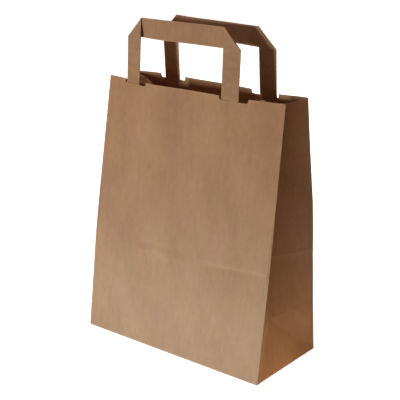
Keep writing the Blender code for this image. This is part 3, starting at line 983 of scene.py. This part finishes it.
def kraft_pulp_group():
    """Unbleached kraft: cloudy pulp, streaks along the sheet, long fibres and dark specks."""
    tree, given, result = new_group("kraft pulp", {
        "Vector": ("Sheet Place",), "Color": ("Pulp", "Pale Fibre", "Dark Fibre", "Rosy Pulp"),
        "Float": ("Clouding", "Streaks", "Fibres", "Specks")}, {
        "Color": ("Color",), "Float": ("Height", "Roughness")})
    place = given["Sheet Place"]

    small = pattern(tree, place, *SMALL_CLOUDS)
    cloudy = weighed(tree, (pattern(tree, place, *BROAD_CLOUDS), 0.75), (small, 0.25))
    cloudy = ranged(tree, cloudy, *NOISE_REACH, -1.0, 1.0)
    streaky = weighed(tree, (pattern(tree, place, *WIDE_STREAKS), 0.85),
                      (pattern(tree, place, *FINE_STREAKS), 0.15))
    streaky = ranged(tree, streaky, *NOISE_REACH, -1.0, 1.0)

    one_way, other_way, third_way = [
        pattern(tree, place, FIBRE_SCALE, FIBRE_STRETCH, 1.0, (5.0 * number, 1.0, 2.0), turn)
        for number, turn in enumerate(FIBRE_TURNS)]
    pale = ranged(tree, maths(tree, "MAXIMUM", one_way, other_way), *PALE_FIBRE_REACH)
    dark = ranged(tree, third_way, *DARK_FIBRE_REACH)

    speck_place = stretched(tree, place, SPECK_STRETCH, SPECK_TURN)
    cells = add(tree, "ShaderNodeTexVoronoi", {"Vector": speck_place, "Scale": SPECK_SCALE}).outputs
    chance = add(tree, "ShaderNodeSeparateColor", {"Color": cells["Color"]}).outputs[0]
    speck = times(tree, ranged(tree, cells["Distance"], *SPECK_SIZE), ranged(tree, chance, *SPECK_CHANCE))

    shade_change = weighed(tree, (cloudy, given["Clouding"]), (streaky, given["Streaks"]))
    lighter = maths(tree, "MAXIMUM", shade_change, 0.0)
    darker = maths(tree, "MAXIMUM", times(tree, shade_change, -1.0), 0.0)
    rosy = ranged(tree, pattern(tree, place, *ROSY_CLOUDS), *ROSY_REACH)
    colour = blended(tree, rosy, given["Pulp"], given["Rosy Pulp"])
    for share, fibre in ((lighter, "Pale Fibre"), (darker, "Dark Fibre"),
                         (times(tree, pale, given["Fibres"]), "Pale Fibre"),
                         (times(tree, dark, given["Fibres"]), "Dark Fibre"),
                         (times(tree, speck, given["Specks"]), "Dark Fibre")):
        colour = blended(tree, share, colour, given[fibre])
    grain = clouds(tree, place, GRAIN_SCALE, roughness=0.6)
    height = weighed(tree, (grain, 0.45), (pale, 0.25), (streaky, 0.12), (small, 0.25))
    roughness = ranged(tree, grain, *GRAIN_REACH, *GRAIN_ROUGHNESS)
    fill(tree, result, {"Color": colour, "Height": height, "Roughness": roughness})
    return tree


def wear_and_highlight_group():
    """Folded and handled paper: the fibres break up pale and rough, in a ragged line. Where the mask marks
    a lit fold edge, the same pale line is a painted highlight.
    """
    tree, given, result = new_group("fold wear and painted highlight", {
        "Vector": ("Sheet Place",), "Color": ("Color", "Worn"),
        "Float": ("Height", "Fold Distance Mask", "Amount")}, {"Color": ("Color",), "Float": ("Height",)})
    ragged = clouds(tree, given["Sheet Place"], RAGGED_SCALE, detail=3.0, roughness=0.65)
    broken_up = ranged(tree, ragged, *BREAK_UP_REACH, 0.25, 1.0)
    amount = times(tree, given["Fold Distance Mask"], broken_up)
    amount = times(tree, amount, given["Amount"], clamp=True)
    rough = times(tree, times(tree, ragged, amount), 0.6)
    fill(tree, result, {"Color": blended(tree, amount, given["Color"], given["Worn"]),
                        "Height": maths(tree, "ADD", given["Height"], rough)})
    return tree


PULP_GROUP = kraft_pulp_group()
WEAR_AND_HIGHLIGHT_GROUP = wear_and_highlight_group()

# Colours, as light reflects from them
KRAFT_PULP = (0.435, 0.240, 0.108, 1.0)
KRAFT_PALE = (0.600, 0.385, 0.205, 1.0)
KRAFT_DARK = (0.200, 0.097, 0.038, 1.0)
STRIP_PULP = (0.388, 0.213, 0.099, 1.0)
PATCH_PULP = (0.445, 0.250, 0.115, 1.0)
CUT_PULP = (0.520, 0.320, 0.160, 1.0)
ROSY_TINT = (1.01, 0.955, 1.06, 1.0)
PAPER_SPECULAR, PAPER_SHEEN, PAPER_SHEEN_ROUGHNESS = 0.35, 0.06, 0.6


def new_material(name):
    """A new material, its node tree and its shader."""
    material = bpy.data.materials.new(name)
    material.use_nodes = True
    return material, material.node_tree, material.node_tree.nodes["Principled BSDF"]


def kraft_material(name, pulp, clouding, streaks, fibres, specks, wear, relief_depth):
    """Paper: the pulp's colour, worn at its folds and painted paler as highlight on some lit fold edges, on
    a matt shader with a little fibre sheen.
    """
    material, tree, shader = new_material(name)
    place = add(tree, "ShaderNodeAttribute", attribute_name="sheet_place").outputs["Vector"]
    mask = add(tree, "ShaderNodeAttribute", attribute_name="wear_and_highlight").outputs["Fac"]
    rosy = [value * tint for value, tint in zip(pulp, ROSY_TINT)]
    paper = add(tree, "ShaderNodeGroup", {
        "Sheet Place": place, "Pulp": pulp, "Rosy Pulp": rosy, "Pale Fibre": KRAFT_PALE,
        "Dark Fibre": KRAFT_DARK, "Clouding": clouding, "Streaks": streaks, "Fibres": fibres,
        "Specks": specks}, node_tree=PULP_GROUP).outputs
    folded = add(tree, "ShaderNodeGroup", {
        "Color": paper["Color"], "Height": paper["Height"], "Worn": KRAFT_PALE, "Sheet Place": place,
        "Fold Distance Mask": mask, "Amount": wear}, node_tree=WEAR_AND_HIGHLIGHT_GROUP).outputs
    bump = add(tree, "ShaderNodeBump", {"Height": folded["Height"], "Strength": 1.0,
                                        "Distance": relief_depth})
    fill(tree, shader, {
        "Base Color": folded["Color"], "Roughness": paper["Roughness"], "Normal": bump.outputs["Normal"],
        "Specular IOR Level": PAPER_SPECULAR, "Sheen Weight": PAPER_SHEEN,
        "Sheen Roughness": PAPER_SHEEN_ROUGHNESS})
    return material


def make_materials():
    return {
        "body": kraft_material("kraft outside", KRAFT_PULP, clouding=0.20, streaks=0.07, fibres=0.18,
                               specks=0.55, wear=0.50, relief_depth=0.00010),
        "strip": kraft_material("kraft handle strip", STRIP_PULP, clouding=0.14, streaks=0.11, fibres=0.22,
                                specks=0.45, wear=0.45, relief_depth=0.00009),
        "patch": kraft_material("kraft patch", PATCH_PULP, clouding=0.20, streaks=0.12, fibres=0.30,
                                specks=0.55, wear=0.40, relief_depth=0.00010),
        "cut": kraft_material("kraft cut edge", CUT_PULP, clouding=0.30, streaks=0.10, fibres=0.50,
                              specks=0.30, wear=0.60, relief_depth=0.00014),
    }


# The finished pieces

SHARP_FROM = math.radians(35.0)


def dress(piece, node, slot, *papers, thickness=None):
    """Gives a piece its materials, its thickness where it is still an open sheet, and its part's place."""
    for paper in papers:
        piece.data.materials.append(paper)
    if thickness:
        thicken(piece, thickness)
    piece.data.shade_smooth()
    piece.data.set_sharp_from_angle(angle=SHARP_FROM)
    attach(piece, "root")
    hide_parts(node)


def build_bag():
    paper = make_materials()
    dress(make_body(), "bag_body", "kraft_body", paper["body"], paper["cut"], thickness=PAPER_WALL)
    for side in OUTWARD:
        dress(make_handle(side), f"{side}_handle", "kraft_handle", paper["strip"])
        dress(make_patch(side), f"{side}_handle_patch", "kraft_patch", paper["patch"], paper["cut"],
              thickness=PATCH_THICKNESS)


# The studio

FLOOR_SIZE = 14.0
FLOOR_COLOUR = (0.86, 0.86, 0.86, 1.0)
FLOOR_LIFT = 0.96  # white that only the camera sees on the floor, over its shadow
ROOM_LIGHT = 0.115
ROOM_COLOUR = (1.0, 0.52, 0.41, 1.0)
WHITE = (1.0, 1.0, 1.0, 1.0)
BAG_MIDDLE = (0.0, 0.0, 0.13)
FAR_CLIP = 100.0


def direction(azimuth, elevation):
    """Unit vector towards a place seen at that azimuth and elevation round the bag."""
    a, e = math.radians(azimuth), math.radians(elevation)
    return Vector((math.sin(a) * math.cos(e), -math.cos(a) * math.cos(e), math.sin(e)))


def aim(obj, target):
    obj.rotation_euler = (Vector(target) - obj.location).to_track_quat("-Z", "Y").to_euler()


def soft_light(name, azimuth, elevation, distance, size, power, colour, target=BAG_MIDDLE):
    """A round lamp of one size, or a long one of (length, height)."""
    lamp = bpy.data.lights.new(name, "AREA")
    if isinstance(size, tuple):
        lamp.shape = "RECTANGLE"
        lamp.size, lamp.size_y = size
    else:
        lamp.shape = "DISK"
        lamp.size = size
    lamp.energy = power
    lamp.color = colour
    obj = new_object(name, lamp)
    obj.location = Vector(target) + distance * direction(azimuth, elevation)
    obj.visible_camera = False
    aim(obj, target)


def make_floor():
    bpy.ops.mesh.primitive_plane_add(size=FLOOR_SIZE, location=(0.0, 0.0, 0.0))
    floor = bpy.context.object
    floor.name = "floor"
    material, tree, shader = new_material("pale studio floor")
    seen = add(tree, "ShaderNodeLightPath").outputs["Is Camera Ray"]
    fill(tree, shader, {
        "Base Color": FLOOR_COLOUR, "Roughness": 0.9, "Specular IOR Level": 0.2, "Emission Color": WHITE,
        "Emission Strength": times(tree, seen, FLOOR_LIFT)})
    floor.data.materials.append(material)


def make_room():
    """Even pale light, and plain white where the camera looks past the floor."""
    world = bpy.data.worlds.new("studio room")
    bpy.context.scene.world = world
    world.use_nodes = True
    tree = world.node_tree
    tree.nodes.clear()
    seen = add(tree, "ShaderNodeLightPath").outputs["Is Camera Ray"]
    lighting = add(tree, "ShaderNodeBackground", {"Color": ROOM_COLOUR, "Strength": ROOM_LIGHT})
    backdrop = add(tree, "ShaderNodeBackground", {"Color": WHITE, "Strength": 1.0})
    chosen = add(tree, "ShaderNodeMixShader", {0: seen, 1: lighting.outputs[0], 2: backdrop.outputs[0]})
    add(tree, "ShaderNodeOutputWorld", {"Surface": chosen.outputs[0]})


def make_lights():
    soft_light("key light", azimuth=-24.8, elevation=4.5, distance=3.0, size=(0.22, 0.52), power=49.3,
               colour=(0.975, 1.0, 0.99))
    soft_light("low front glow", azimuth=0.0, elevation=1.0, distance=0.145, size=(0.42, 0.03), power=0.33,
               colour=(0.40, 0.66, 1.0), target=(0.0, -0.04, 0.008))
    soft_light("foot glow", azimuth=90.0, elevation=0.0, distance=0.060, size=(0.060, 0.008), power=0.0188,
               colour=(1.0, 0.74, 0.46), target=(0.107, -0.013, 0.006))
    soft_light("side light", azimuth=85.0, elevation=35.0, distance=1.3, size=0.4, power=0.9,
               colour=(1.0, 0.84, 0.52), target=(0.1, 0.0, 0.08))
    soft_light("back light", azimuth=210.0, elevation=32.0, distance=1.6, size=0.6, power=13.0,
               colour=(1.0, 0.97, 0.92), target=(0.0, 0.0, 0.15))


def make_camera():
    data = bpy.data.cameras.new("camera")
    data.sensor_width = SENSOR_WIDTH
    data.sensor_fit = "HORIZONTAL"
    data.lens = VIEW_FOCAL_SHARE * SENSOR_WIDTH
    data.dof.use_dof = False
    data.clip_end = FAR_CLIP
    camera = new_object("camera", data)
    camera.location = Vector(VIEW_TARGET) + VIEW_DISTANCE * direction(VIEW_AZIMUTH, VIEW_ELEVATION)
    aim(camera, VIEW_TARGET)
    bpy.context.scene.camera = camera


def main():
    make_camera()
    make_lights()
    make_room()
    make_floor()
    build_bag()
    bpy.context.scene.view_settings.view_transform = "Standard"


main()
